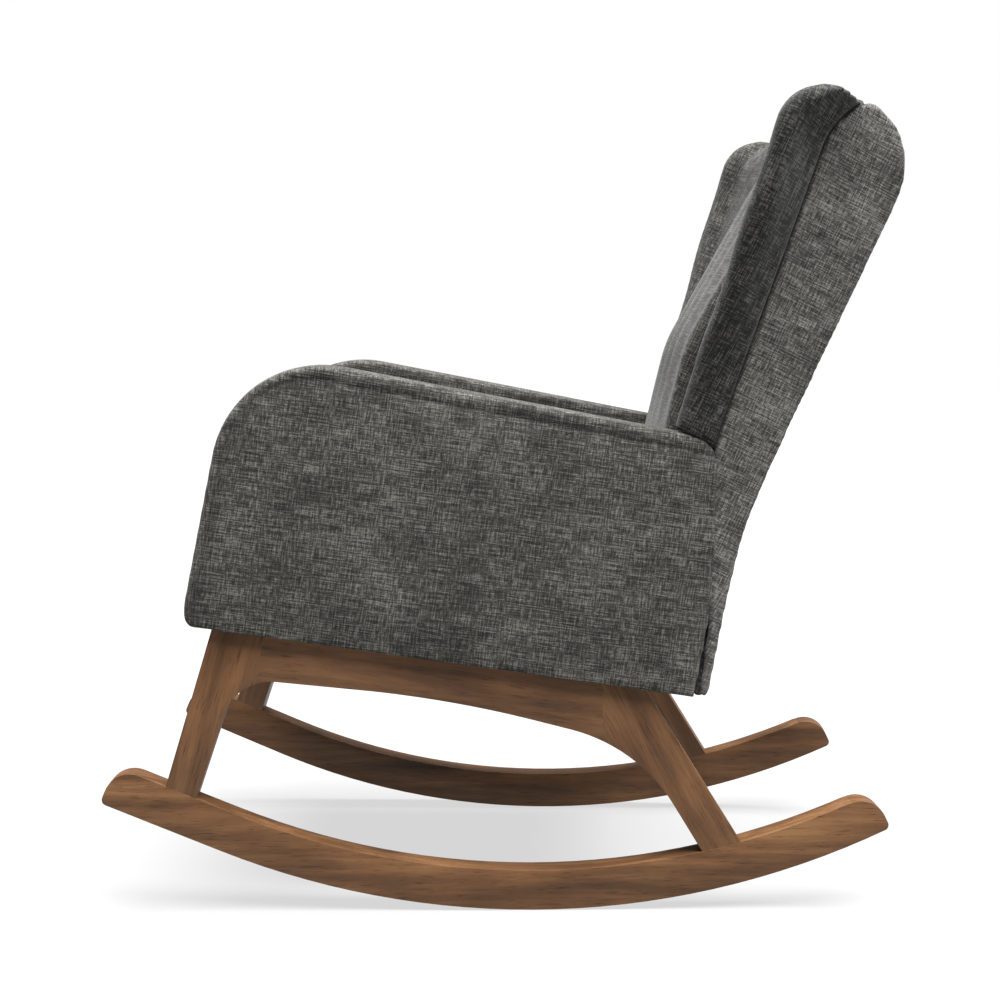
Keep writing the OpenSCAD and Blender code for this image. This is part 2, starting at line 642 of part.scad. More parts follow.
rocker(1);  // rocker_left
rocker(-1);  // rocker_right
front_leg(1);  // front_leg_left
front_leg(-1);  // front_leg_right
side_rail(1);  // side_rail_left
side_rail(-1);  // side_rail_right
rear_leg(1);  // rear_leg_left
rear_leg(-1);  // rear_leg_right
cross_rail(front_cross_u);  // front_cross_rail
cross_rail(rear_cross_u);  // rear_cross_rail
corner_blocks();
frame_dowels();
rocker_bolts();
rocker_plugs();
base_bolts();
base_washers();
tee_nuts();
seat_rail(front_rail_u, 44);  // seat_rail_front
seat_rail(rear_rail_u, 40);  // seat_rail_rear
seat_rail_side(1);  // seat_rail_left
seat_rail_side(-1);  // seat_rail_right
arm_post(1);  // arm_post_left
arm_post(-1);  // arm_post_right
arm_board(1);  // arm_board_left
arm_board(-1);  // arm_board_right
back_post(1);  // back_post_left
back_post(-1);  // back_post_right
back_rail(post_top - 55, 55);  // back_top_rail
back_rail(60, 45);  // back_lumbar_rail
back_bottom_rail();
wing_board(1);  // wing_board_left
wing_board(-1);  // wing_board_right
seat_springs();
spring_clips();
back_webbing();
seat_deck();
dust_cover();
front_border();
arm_cover(1);  // arm_cover_left
arm_cover(-1);  // arm_cover_right
back_side(1);  // back_side_left
back_side(-1);  // back_side_right
wing_cover(1);  // wing_cover_left
wing_cover(-1);  // wing_cover_right
inside_back();
outside_back();
back_crown();
seat_cushion();
cushion_zip();
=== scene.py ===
"""Wing rocking chair: a walnut rocker base under a body upholstered in charcoal linen."""
import json
import math

import bmesh
import bpy
import numpy as np
from mathutils import Matrix, Vector


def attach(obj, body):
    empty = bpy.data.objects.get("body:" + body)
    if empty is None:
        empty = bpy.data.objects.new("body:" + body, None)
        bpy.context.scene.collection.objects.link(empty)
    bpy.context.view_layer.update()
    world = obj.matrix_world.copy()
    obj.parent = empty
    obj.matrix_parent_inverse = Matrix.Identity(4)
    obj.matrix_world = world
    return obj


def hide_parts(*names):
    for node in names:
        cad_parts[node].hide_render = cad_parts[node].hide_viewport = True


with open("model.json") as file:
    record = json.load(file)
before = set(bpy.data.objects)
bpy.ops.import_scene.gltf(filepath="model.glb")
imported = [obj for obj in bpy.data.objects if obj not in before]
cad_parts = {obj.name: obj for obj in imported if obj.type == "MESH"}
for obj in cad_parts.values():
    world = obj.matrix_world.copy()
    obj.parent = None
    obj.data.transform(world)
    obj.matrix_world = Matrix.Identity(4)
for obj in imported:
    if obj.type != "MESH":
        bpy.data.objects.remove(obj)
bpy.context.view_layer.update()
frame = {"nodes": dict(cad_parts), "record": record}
nodes = frame["nodes"]
bpy.ops.object.select_all(action="DESELECT")

# ------------------------------------------------------------------ chair's own frame
MM = 0.001
TOE = math.radians(2.4)             # each side turns out towards the front
TILT = math.radians(8.2)            # the seat body leans back
LEAN = math.radians(17.1)           # the back leans against the seat body's upright
HALF_W = 0.2875                     # outer face of a side frame
SEAT_Z = 0.292                      # underside of the seat body, at the middle
BEND = (0.255, 0.207)               # bend of the back's rear face, (rearward, up) in the body
ARM_X, ARM_IN = 0.300, 0.225        # outer and inner face of an arm


def smooth(value, low, high):
    """0 below low, 1 above high, with a soft change between."""
    t = np.clip((value - low) / (high - low), 0, 1)
    return t * t * (3 - 2 * t)


def side_of(name):
    return -1 if name.endswith("right") else 1


def untoe(co, side):
    """World points as (x, y, z) of the left side's own upright plane."""
    x, y = co[:, 0] * side - HALF_W, co[:, 1]
    return np.stack([HALF_W + x * math.cos(TOE) + y * math.sin(TOE),
                     -x * math.sin(TOE) + y * math.cos(TOE), co[:, 2]], 1)


def in_body(co):
    """World points as (x, rearward, up) in the tilted seat body."""
    y, z = co[:, 1], co[:, 2] - SEAT_Z
    return np.stack([co[:, 0], y * math.cos(TILT) - z * math.sin(TILT),
                     y * math.sin(TILT) + z * math.cos(TILT)], 1)


def in_back(body):
    """Body points as (x, behind the rear face, up the back)."""
    u, v = body[:, 1] - BEND[0], body[:, 2] - BEND[1]
    return np.stack([body[:, 0], u * math.cos(LEAN) - v * math.sin(LEAN),
                     u * math.sin(LEAN) + v * math.cos(LEAN)], 1)


# ------------------------------------------------------------------ mesh helpers
def points(obj, what="vertices", key="co"):
    data = getattr(obj.data, what)
    out = np.zeros(len(data) * 3, np.float32)
    data.foreach_get(key, out)
    return out.reshape(-1, 3).astype(float)


def move_points(obj, co):
    obj.data.vertices.foreach_set("co", co.astype(np.float32).ravel())
    obj.data.update()


def activate(obj):
    bpy.ops.object.select_all(action="DESELECT")
    obj.select_set(True)
    bpy.context.view_layer.objects.active = obj


def modify(obj, kind, **settings):
    """Adds a modifier with its settings and applies it."""
    activate(obj)
    mod = obj.modifiers.new(kind.title(), kind)
    for key, value in settings.items():
        setattr(mod, key, value)
    bpy.ops.object.modifier_apply(modifier=mod.name)


def copy_of(name, *sources):
    """One piece from the merged meshes of CAD nodes, with flat faces joined up."""
    parts = []
    for source in sources:
        part = bpy.data.objects.new(name, nodes[source].data.copy())
        bpy.context.scene.collection.objects.link(part)
        parts.append(part)
    activate(parts[0])
    for part in parts[1:]:
        part.select_set(True)
    if len(parts) > 1:
        bpy.ops.object.join()
    piece = parts[0]
    piece.data.materials.clear()
    bpy.ops.object.mode_set(mode="EDIT")
    bpy.ops.mesh.select_all(action="SELECT")
    bpy.ops.mesh.remove_doubles(threshold=2e-5)
    bpy.ops.mesh.dissolve_limited(angle_limit=math.radians(0.5))
    bpy.ops.object.mode_set(mode="OBJECT")
    return piece


def finish_piece(piece, body, slot, replaced, *materials):
    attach(piece, body)
    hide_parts(*replaced)
    for mat in materials:
        piece.data.materials.append(mat)
    activate(piece)


# ------------------------------------------------------------------ materials
def srgb(text):
    """An sRGB hex colour as linear RGBA."""
    parts = [int(text[i:i + 2], 16) / 255 for i in (0, 2, 4)]
    return [c / 12.92 if c <= 0.04045 else ((c + 0.055) / 1.055) ** 2.4 for c in parts] + [1]


def fill(mat, node, inputs):
    """Sets each input of a node to its value, or links it when it is given a socket."""
    for key, value in inputs.items():
        if isinstance(value, bpy.types.NodeSocket):
            mat.node_tree.links.new(value, node.inputs[key])
        else:
            node.inputs[key].default_value = value


def add(mat, kind, inputs=None, output=0, stops=(), **settings):
    """Adds a node with its inputs, properties and colour stops, and returns one output."""
    node = mat.node_tree.nodes.new("ShaderNode" + kind)
    for key, value in settings.items():
        setattr(node, key, value)
    fill(mat, node, inputs or {})
    for i, (place, colour) in enumerate(stops):
        if i == len(node.color_ramp.elements):
            node.color_ramp.elements.new(place)
        node.color_ramp.elements[i].position = place
        node.color_ramp.elements[i].color = srgb(colour)
    return node.outputs[output]


def material(name, **constants):
    """A material, and its shader with its constant values set."""
    mat = bpy.data.materials.new(name)
    mat.use_nodes = True
    shader = mat.node_tree.nodes["Principled BSDF"]
    fill(mat, shader, {key.replace("_", " "): value for key, value in constants.items()})
    return mat, shader


def walnut(name, grain_angle):
    """Oiled walnut, planed: warm brown with long darker growth lines along the board."""
    mat, shader = material(name, IOR=1.45, Specular_IOR_Level=0.3)
    coords = add(mat, "TexCoord", output="Object")
    along = add(mat, "Mapping", {"Vector": coords, "Rotation": (grain_angle, 0, 0)})
    # growth lines under 20 mm apart and hundreds of millimetres long
    board = add(mat, "Mapping", {"Vector": along, "Scale": (60, 3.2, 60)})
    figure = add(mat, "TexNoise", {"Vector": board, "Scale": 1.0, "Detail": 5.0, "Roughness": 0.6,
                                   "Distortion": 0.5})
    # pores about a millimetre wide and 30 mm long
    fine = add(mat, "Mapping", {"Vector": along, "Scale": (620, 30, 620)})
    pores = add(mat, "TexNoise", {"Vector": fine, "Scale": 1.0, "Detail": 3.0, "Roughness": 0.65})
    # cloudy change over a hand's breadth
    cloud = add(mat, "TexNoise", {"Vector": along, "Scale": 9.0, "Detail": 3.0})
    clouded = add(mat, "Math", {0: cloud, 1: 0.32}, operation="MULTIPLY")
    lines = add(mat, "Math", {0: figure, 1: 0.68, 2: clouded}, operation="MULTIPLY_ADD")
    brown = add(mat, "ValToRGB", {0: lines},
                stops=((0.30, "322013"), (0.44, "4b321d"), (0.54, "5a3d25"), (0.70, "6f5032")))
    pored = add(mat, "MapRange", {"Value": pores, "From Min": 0.56, "From Max": 0.70})
    darker = add(mat, "Math", {0: pored, 1: 0.75}, operation="MULTIPLY")
    colour = add(mat, "MixRGB", {0: darker, 1: brown, 2: srgb("8a7767")}, blend_type="MULTIPLY")
    rough = add(mat, "MapRange", {"Value": figure, "From Min": 0.3, "From Max": 0.7, "To Min": 0.36,
                                  "To Max": 0.52})
    bump = add(mat, "Bump", {"Height": pored, "Strength": 0.25, "Distance": 0.0003}, invert=True)
    fill(mat, shader, {"Base Color": colour, "Roughness": rough, "Normal": bump})
    return mat


# (cells a metre across and along the weft, offset, detail)
WEFT = (640, 30, 0.0, 2.0)              # a yarn every millimetre and a half, each tone 33 mm long
WARP = (60, 640, 3.1, 2.0)              # crossing yarns, each tone 17 mm long
FIBRE = (950, 240, 7.7, 2.0)            # single fibres, a millimetre wide
PATCH = (17, 11, 1.3, 3.0)              # cloudy change over 60 to 90 mm


def linen(name, dark, mid, light, contrast=1.0):
    """Upholstery cloth that looks like linen: crossed yarns of two greys, with single fibres."""
    mat, shader = material(name, Roughness=0.92, IOR=1.45, Specular_IOR_Level=0.15,
                           Sheen_Weight=0.10, Sheen_Roughness=0.45)
    weave = add(mat, "UVMap", uv_map="weave")
    layers = []
    for across, along, offset, detail in (WEFT, WARP, FIBRE, PATCH):
        place = add(mat, "Mapping", {"Vector": weave, "Scale": (along, across, 1),
                                     "Location": (offset, offset, 0)})
        layers.append(add(mat, "TexNoise", {"Vector": place, "Scale": 1.0, "Roughness": 0.55,
                                            "Detail": detail},
                          noise_dimensions="2D"))
    weft, warp, fibre, patch = layers
    half = add(mat, "Math", {0: weft, 1: 0.5}, operation="MULTIPLY")
    height = add(mat, "Math", {0: warp, 1: 0.5, 2: half}, operation="MULTIPLY_ADD")
    weights = (2.5 * contrast, 0.5, 0.9 * contrast)
    tone = 0.46 - 0.5 * sum(weights)    # each pattern swings about a half
    for pattern, weight in zip((height, patch, fibre), weights):
        tone = add(mat, "Math", {0: pattern, 1: weight, 2: tone}, operation="MULTIPLY_ADD")
    cloth = add(mat, "ValToRGB", {0: tone}, stops=((0.05, dark), (0.45, mid), (1.0, light)))
    # sewn lines lie in shade
    seam_shade = add(mat, "Attribute", output="Fac", attribute_name="seam")
    colour = add(mat, "MixRGB", {0: seam_shade, 1: cloth, 2: srgb("121211")})
    bump = add(mat, "Bump", {"Height": height, "Strength": 0.55, "Distance": 0.0007})
    fill(mat, shader, {"Base Color": colour, "Normal": bump})
    return mat


def grained(name, low, high, scale, stretch=(1, 1, 1), metallic=0.0, roughness=0.6):
    """Plain finish with one pattern: sawn pine, zinc steel, woven lining or nylon."""
    mat, shader = material(name, Metallic=metallic, Roughness=roughness)
    coords = add(mat, "TexCoord", output="Object")
    place = add(mat, "Mapping", {"Vector": coords, "Scale": stretch})
    noise = add(mat, "TexNoise", {"Vector": place, "Scale": scale, "Detail": 4.0, "Roughness": 0.6})
    colour = add(mat, "ValToRGB", {0: noise}, stops=((0.35, low), (0.65, high)))
    bump = add(mat, "Bump", {"Height": noise, "Strength": 0.3, "Distance": 0.0001})
    fill(mat, shader, {"Base Color": colour, "Normal": bump})
    return mat


# one cloth, cut in three directions, in three copies: the side panels' copy is painted lighter as painted
# light, and the wraps' copy is painted darker as painted shade
charcoal_linen = linen("charcoal_linen", "191917", "31302d", "63625d")
lit_panel_linen = linen("charcoal_linen_lit_panel", "1f1f1d", "3e3d3a", "74736e")
shaded_wrap_linen = linen("charcoal_linen_shaded_wrap", "0f0f0e", "20201e", "4a4945", 1.4)
cross_walnut = walnut("walnut_cross", 0.0)
# spun polypropylene lining: black with a fine matted face
spun_lining = grained("spun_lining", "161616", "2a2a2a", 700, roughness=0.95)
# finish of the CAD nodes that no piece replaces, by slot
SLOTS = {
    "walnut_wood": cross_walnut,
    "black_lining": spun_lining,
    # sawn pine: pale, with long grain
    "frame_wood": grained("sawn_pine", "b08c5c", "d4b88a", 8, (14, 1, 14), roughness=0.7),
    # zinc plated steel: grey with a faint cloudy spangle
    "zinc_steel": grained("zinc_plated_steel", "8c8f94", "b4b7bb", 120, metallic=1.0, roughness=0.35),
    # jute webbing: brown grey and coarse
    "webbing": grained("jute_webbing", "4a4136", "7b6f5d", 500, (1, 4, 1), roughness=0.9),
    # coil zip in black nylon: ribbed across every 2 mm
    "zip_nylon": grained("zip_nylon", "0d0d0d", "303030", 450, (1, 0.1, 0.1), roughness=0.5),
}

# ------------------------------------------------------------------ walnut base
EDGE_R = 3 * MM                     # rounding of the boards' edges
CROSS_EDGE_R = 1.5 * MM
BOARD_T = 0.038
FLAT = math.radians(38)             # edges flatter than this are shaded smooth
ON_FACE, AT_GLUE = 3e-4, 6e-4       # how near a vertex lies to a plane


def seam_edges(piece, planes):
    """Marks the outline edges of a side board for the bevel, but none at a glue line."""
    side = side_of(piece.name)
    local = untoe(points(piece), side)
    mesh = piece.data
    weights = mesh.attributes.new("bevel_weight_edge", "FLOAT", "EDGE")
    for edge in mesh.edges:
        a, b = local[edge.vertices[0]], local[edge.vertices[1]]
        on_face = any(max(abs(a[0] - x), abs(b[0] - x)) < ON_FACE for x in (HALF_W, HALF_W - BOARD_T))
        at_glue = any(max(abs(a @ n - d), abs(b @ n - d)) < AT_GLUE for n, d in planes)
        weights.data[edge.index].value = 1.0 if on_face and not at_glue else 0.0


# Planes of the glue lines, as (normal, distance): the front one meets the body's underside at GLUE_Y
GLUE_Y, GLUE_SLOPE = -0.2755, math.radians(10)
FRONT_GLUE = (np.array([0, math.cos(GLUE_SLOPE), -math.sin(GLUE_SLOPE)]),
              GLUE_Y * math.cos(GLUE_SLOPE) - (SEAT_Z - GLUE_Y * math.tan(TILT)) * math.sin(GLUE_SLOPE))
REAR_GLUE = (np.array([0, 1.0, 0]), 0.126)
# how far the grain of each board rises towards the rear
GRAIN = {"rocker": 0.0, "front_leg": math.radians(-74), "side_rail": math.radians(8),
         "rear_leg": math.radians(62)}
board_walnut = {key: walnut("walnut_" + key, angle) for key, angle in GRAIN.items()}

for name in sorted(nodes):
    kind = name.rsplit("_", 1)[0]
    if kind in GRAIN:
        piece = copy_of("walnut_" + name, name)
        seam_edges(piece, [] if kind == "rocker" else [FRONT_GLUE, REAR_GLUE])
        modify(piece, "BEVEL", width=EDGE_R, segments=3, limit_method="WEIGHT", use_clamp_overlap=True)
        finish_piece(piece, "chair", "walnut_wood", [name], board_walnut[kind])
        bpy.ops.object.shade_smooth_by_angle(angle=FLAT)

for name in ("front_cross_rail", "rear_cross_rail"):
    piece = copy_of("walnut_" + name, name)
    modify(piece, "BEVEL", width=CROSS_EDGE_R, segments=2, limit_method="ANGLE", angle_limit=math.radians(60))
    finish_piece(piece, "chair", "walnut_wood", [name], cross_walnut)
    bpy.ops.object.shade_smooth_by_angle(angle=FLAT)

# ------------------------------------------------------------------ soft goods
def gap_to(line, co):
    """Distance of 2-D points from an open line of points."""
    best = np.full(len(co), 1e9)
    for a, b in zip(line[:-1], line[1:]):
        ab = b - a
        t = np.clip(((co - a) @ ab) / (ab @ ab), 0, 1)
        best = np.minimum(best, np.linalg.norm(co - a - t[:, None] * ab, axis=1))
    return best


def groove(gap, width):
    """1 where the gap is nothing, fading over the width on both sides."""
    return np.exp(-(gap / width) ** 2)


SEAM_W = 0.0022                     # half width of a sewn line's groove
TOE_SLOPE = 0.042                   # the body narrows by this for each metre rearward, each side
SIDEWAYS = 1.5                      # how far a face may turn from the side and keep the side's weave
TOP_OFFSET = 0.37                   # keeps the top's weave from mirroring the front's


def weave_uv(piece, side, leaning, crossed=None):
    """UV in metres by each face's own direction: the weft runs level and the warp up the body or the back."""
    mesh = piece.data
    co, normal = points(piece), points(piece, "polygons", "normal")
    local = in_body(untoe(co, side))
    origin = np.array([[HALF_W * side, 0, 0]])
    facing = in_body(untoe(normal + origin, side)) - in_body(untoe(origin, side))
    axis = np.argmax(np.abs(facing) * [SIDEWAYS, 1, 1], axis=1)
    x, u, v = local.T
    if leaning:
        u, v = u * math.cos(LEAN) - v * math.sin(LEAN), u * math.sin(LEAN) + v * math.cos(LEAN)
    choices = np.stack([np.stack(pair, 1) for pair in ((u, v), (x, v), (x + TOP_OFFSET, u))])
    loops = np.zeros(len(mesh.loops), np.int32)
    mesh.loops.foreach_get("vertex_index", loops)
    totals = np.zeros(len(mesh.polygons), np.int32)
    mesh.polygons.foreach_get("loop_total", totals)
    uv = choices[np.repeat(axis, totals), loops]
    if crossed is not None:             # faces cut with their weft running up the chair
        swap = np.repeat(crossed, totals)
        uv[swap] = uv[swap][:, ::-1]
    layer = mesh.uv_layers.new(name="weave")
    layer.data.foreach_set("uv", uv.astype(np.float32).ravel())


def soften(piece, voxel, rounds, levels=0):
    """Foam under cloth: an even skin, with its hard corners eased."""
    modify(piece, "REMESH", mode="VOXEL", voxel_size=voxel)
    modify(piece, "SMOOTH", factor=0.5, iterations=rounds)
    if levels:
        modify(piece, "SUBSURF", levels=levels, render_levels=levels)


def upholster(piece, replaced, cloths, side=1, body="chair", leaning=False, seam=None,
              crossed=None):
    """Lays cloth on a padded piece, with painted shade along its sewn lines."""
    weave_uv(piece, side, leaning, crossed)
    seam_shade = piece.data.attributes.new("seam", "FLOAT", "POINT")
    # the seam values are painted shade along the sewn lines
    if seam is not None:
        seam_shade.data.foreach_set("value", np.clip(seam, 0, 1).astype(np.float32))
    finish_piece(piece, body, "charcoal_linen", replaced, *cloths)
    bpy.ops.object.shade_smooth()


UP = np.array([0, math.sin(TILT), math.cos(TILT)])      # up in the seat body
ALONG = np.array([0, math.cos(TILT), -math.sin(TILT)])  # rearward in it
UP_BACK = np.array([0, math.sin(TILT + LEAN), math.cos(TILT + LEAN)])     # up the back

# Arms: an outer panel sewn to a strip that wraps the front and the top
ARM_FRONT, ARM_H, ARM_REAR = -0.377, 0.333, 0.246
ARM_TOP_FRONT = -0.359              # the front and the top, drawn on, meet here
ARM_CORNER_R = 0.128
ARM_FALL = 0.0464                   # slope of the top towards the rear
ARM_TOP_L = 0.47                    # the top's length behind its corner


def arm_line():
    """Front and top outline of an arm in (rearward, up)."""
    fall, lean = math.atan(ARM_FALL), math.atan2(ARM_TOP_FRONT - ARM_FRONT, ARM_H)
    up, along = np.array([math.sin(lean), math.cos(lean)]), np.array([math.cos(fall), -math.sin(fall)])
    sweep = math.pi / 2 + fall - lean
    corner, reach = np.array([ARM_TOP_FRONT, ARM_H]), ARM_CORNER_R * math.tan(sweep / 2)
    first = np.array([-up[1], up[0]]) * ARM_CORNER_R
    centre = corner - up * reach - first
    arc = [centre + first * math.cos(t) + np.array([first[1], -first[0]]) * math.sin(t)
           for t in np.linspace(0, sweep, 14)]
    return np.array([[ARM_FRONT, 0.0], *arc, corner + along * (reach + ARM_TOP_L)])


ARM_LINE = arm_line()
for side, word in ((1, "left"), (-1, "right")):
    piece = copy_of("linen_arm_" + word, "arm_cover_" + word)
    soften(piece, 5 * MM, 7, levels=1)
    co = points(piece)
    normal = points(piece, "vertices", "normal")
    local = in_body(untoe(co, side))
    x, u, v = local.T
    gap = gap_to(ARM_LINE, local[:, 1:])        # from the outline into the panel
    out = smooth(x, ARM_X - 0.012, ARM_X - 0.004)
    seam_at = 0.0105 + 0.0075 * smooth(u, -0.34, -0.20)
    seam = groove(gap - seam_at, SEAM_W) * out * smooth(v, 0.004, 0.02)
    roll = groove(gap - seam_at * 0.45, 0.006) * smooth(x, ARM_IN + 0.02, ARM_X)
    panel = (1 - np.exp(-np.clip(gap - seam_at, 0, 1) / 0.03)) * out
    panel *= smooth(v, 0.0, 0.05) * smooth(ARM_REAR - 0.008 - u, 0.0, 0.05)
    strip = np.cos((x - (ARM_IN + ARM_X) / 2) / (ARM_X - ARM_IN) * math.pi).clip(0)
    strip *= smooth(-gap, -0.012, -0.002)
    hand = 0.0008 * np.sin(u * 31 + 1.3 * np.sin(v * 17)) * np.sin(v * 23 + side)
    push = -0.0012 * seam + 0.0008 * roll + (0.0050 + hand) * panel + 0.0004 * strip
    co = co + normal * push[:, None]
    down = 0.004 * (1 - smooth(v, 0.0, 0.03))[:, None] * UP
    co = co - down + ALONG * (0.005 * smooth(u, 0.21, 0.243) * smooth(0.2 - v, -0.03, 0.02))[:, None]
    under = in_body(untoe(co, side))[:, 2]
    co += UP * np.clip(0.0008 - under, 0, None)[:, None]
    move_points(piece, co)
    # painted shade along the sewn line, and a band of painted shade just inside it towards the front
    shade = 0.4 * groove(gap - seam_at, 0.0020) * out * smooth(v, 0.004, 0.02)
    shade += 0.35 * groove(gap - seam_at - 0.006, 0.005) * out * smooth(-u, 0.20, 0.30)
    upholster(piece, ["arm_cover_" + word], [charcoal_linen], side, seam=shade)

# The side of the back runs from the wing's seam down behind the arm to the underside.
REAR_PAD_IN, REAR_PAD_OUT = 0.2885, 0.3002


def out_of_back(w, h):
    """(rearward, up) in the body for a place in the back's own frame."""
    return (BEND[0] + w * math.cos(LEAN) + h * math.sin(LEAN),
            BEND[1] - w * math.sin(LEAN) + h * math.cos(LEAN))


def side_outline():
    """Outline of the side panel: down the arm's rear edge, then up the rear face and over the crown."""
    front = [(0.242, 0.001), (0.240, 0.08), (0.233, 0.125), (0.226, 0.20), (0.215, 0.29),
             out_of_back(-0.062, 0.10), out_of_back(-0.120, 0.43), out_of_back(-0.120, 0.498)]
    crown = [out_of_back(-0.069 + 0.072 * math.sin(t), 0.420 + 0.090 * math.cos(t))
             for t in np.linspace(0, math.pi / 2, 12)]
    rear = [out_of_back(0.005, 0.08), (0.2672, 0.215), (0.2635, 0.190), (0.2598, 0.150), (0.2570, 0.110),
            (0.2525, 0.001)]
    return front + crown + rear


def side_panel(side):
    """The panel as a thin slab, standing in the toed plane of its side."""
    mesh = bpy.data.meshes.new("side_panel")
    flat = side_outline()
    turn = Matrix.Rotation(-TILT, 4, "X")
    pivot = Matrix.Translation((HALF_W, 0, 0))
    toed = pivot @ Matrix.Rotation(TOE, 4, "Z") @ pivot.inverted()
    place = Matrix.Diagonal((side, 1, 1, 1)) @ Matrix.Translation((0, 0, SEAT_Z)) @ turn @ toed
    corners = [place @ Vector((x, u, v)) for x in (REAR_PAD_IN, REAR_PAD_OUT) for u, v in flat]
    n = len(flat)
    faces = [list(range(n))[::-1], list(range(n, 2 * n))]
    faces += [[i, (i + 1) % n, n + (i + 1) % n, n + i] for i in range(n)]
    mesh.from_pydata(corners, [], faces)
    piece = bpy.data.objects.new("side_panel", mesh)
    bpy.context.scene.collection.objects.link(piece)
    activate(piece)
    bpy.ops.object.mode_set(mode="EDIT")
    bpy.ops.mesh.select_all(action="SELECT")
    bpy.ops.mesh.normals_make_consistent(inside=False)
    bpy.ops.object.mode_set(mode="OBJECT")
    return piece


def wing_seam(h):
    """Place of the wing's seam at a height up the back: straight, then turning over the crown."""
    return -0.057 - 0.108 * h + np.clip(h - 0.438, 0, 1) ** 2 / 0.150


INWARD = -0.3                       # a face of the wing turned further in than this lines its inside

# Wings: the nose is wrapped from the inside, and sewn behind it to the panel of the back's side
for side, word in ((1, "left"), (-1, "right")):
    piece = copy_of("linen_wing_" + word, "wing_cover_" + word, "back_side_" + word)
    slab = side_panel(side)
    activate(piece)
    slab.select_set(True)
    bpy.ops.object.join()
    soften(piece, 4.5 * MM, 9, levels=1)
    co = points(piece)
    normal = points(piece, "vertices", "normal")
    x, w, h = in_back(in_body(untoe(co, side))).T
    seam_w = wing_seam(h)
    outer = smooth(x, 0.285, 0.30)
    seam = groove(w - seam_w, SEAM_W) * outer * smooth(h, 0.03, 0.06)
    wrap = smooth(seam_w - w, 0.0, 0.02) * outer
    ease = 0.0012 * np.sin(h * 38 + 2.0 * np.sin(w * 30)) * wrap
    panel = groove(w - seam_w * 0.45, 0.03) * outer * smooth(h, 0.02, 0.1) * smooth(0.5 - h, 0, 0.06)
    push = -0.0032 * seam + ease + 0.0030 * panel + 0.0008 * groove(w - seam_w + 0.007, 0.005) * outer
    rise = -0.005 + 0.008 * smooth(w, -0.150, -0.090) - 0.003 * smooth(w, -0.07, -0.05)
    rise *= smooth(h, 0.42, 0.50)
    move_points(piece, co + normal * push[:, None] + UP_BACK * rise[:, None])
    # painted shade along the wing's sewn line
    shade = 0.9 * groove(w - seam_w, 0.0026) * outer * smooth(h, 0.03, 0.06)
    middle = in_back(in_body(untoe(points(piece, "polygons", "center"), side)))
    outside = points(piece, "polygons", "normal")[:, 0] * side > INWARD
    wrapped = (middle[:, 1] < wing_seam(middle[:, 2])) & outside
    upholster(piece, ["wing_cover_" + word, "back_side_" + word], [charcoal_linen, shaded_wrap_linen, lit_panel_linen],
              side, leaning=True, seam=shade, crossed=wrapped)
    # the wraps take the linen painted darker, as painted shade, and the outside panels take the linen painted
    # lighter, as painted light
    painted_tone = np.where(wrapped, 1, np.where(outside, 2, 0))
    piece.data.polygons.foreach_set("material_index", painted_tone.astype(np.int32))

# Inside back: full at the lumbar, with soft upright folds above it
piece = copy_of("linen_inside_back", "inside_back", "back_crown")
soften(piece, 6 * MM, 6, levels=1)
co = points(piece)
normal = points(piece, "vertices", "normal")
x, w, h = in_back(in_body(co)).T
front = smooth(-w, 0.075, 0.10)
folds = 0.0030 * np.sin(x * 62 + 1.6 * np.sin(h * 9)) * smooth(h, 0.03, 0.16) * smooth(0.5 - h, 0.0, 0.12)
crown = 0.007 * (1 - np.clip(np.abs(x) / 0.215, 0, 1) ** 3)
front = np.maximum(front, 0.7 * smooth(h, 0.485, 0.498))
move_points(piece, co + normal * ((folds + crown) * front)[:, None])
upholster(piece, ["inside_back", "back_crown"], [charcoal_linen], leaning=True)

# Outside back: a thin padded panel that turns over the crown
PANEL_HALF_IN, PANEL_HALF = 0.2868, 0.288       # half width between the side panels, at y = 0
piece = copy_of("linen_outside_back", "outside_back")
co = points(piece)
edge = PANEL_HALF_IN - TOE_SLOPE * co[:, 1]
co[:, 0] = np.clip(co[:, 0], -edge, edge)      # it ends inside the two side panels
move_points(piece, co)
soften(piece, 4 * MM, 3)
co = points(piece)
normal = points(piece, "vertices", "normal")
x, w, h = in_back(in_body(co)).T
edge = PANEL_HALF - TOE_SLOPE * co[:, 1] - np.abs(x)
push = 0.0030 * smooth(edge, 0.0, 0.09) * smooth(w, -0.006, -0.001) - 0.0012 * groove(edge - 0.008, 0.003)
co = co + normal * push[:, None]
# the crown's front edge is tucked into its seam, and its ends into the wings
co -= UP_BACK * (0.013 * smooth(h, 0.47, 0.49) * smooth(-w, 0.055, 0.10))[:, None]
co[:, 0] += np.sign(x) * 0.012 * smooth(np.abs(x), 0.195, 0.208) * smooth(-w, 0.048, 0.056)
move_points(piece, co)
upholster(piece, ["outside_back"], [charcoal_linen], leaning=True)

# Front border: the padded roll under the cushion
piece = copy_of("linen_front_border", "front_border")
soften(piece, 4 * MM, 5)
upholster(piece, ["front_border"], [charcoal_linen])

# Seat cushion: inflated as cloth, then its two seams pulled in
CUSHION_HALF_W, CUSHION_HALF_L, CUSHION_MID = 0.2195, 0.258, -0.11
CUSHION_SEAMS = (0.070, 0.131)                  # heights above the seat body's underside
SIM_FRAMES = 20
piece = copy_of("linen_seat_cushion", "seat_cushion")
soften(piece, 6 * MM, 4)
rest = points(piece)
activate(piece)
cloth = piece.modifiers.new("Cloth", "CLOTH")
cloth.settings.use_pressure = True
cloth.settings.uniform_pressure_force = 4
cloth.settings.effector_weights.gravity = 0
cloth.settings.quality = 4
cloth.point_cache.frame_start, cloth.point_cache.frame_end = 1, SIM_FRAMES
for step in range(1, SIM_FRAMES + 1):
    bpy.context.scene.frame_set(step)
bpy.ops.object.modifier_apply(modifier="Cloth")
bpy.context.scene.frame_set(1)
puffed = points(piece)
shift = puffed - rest
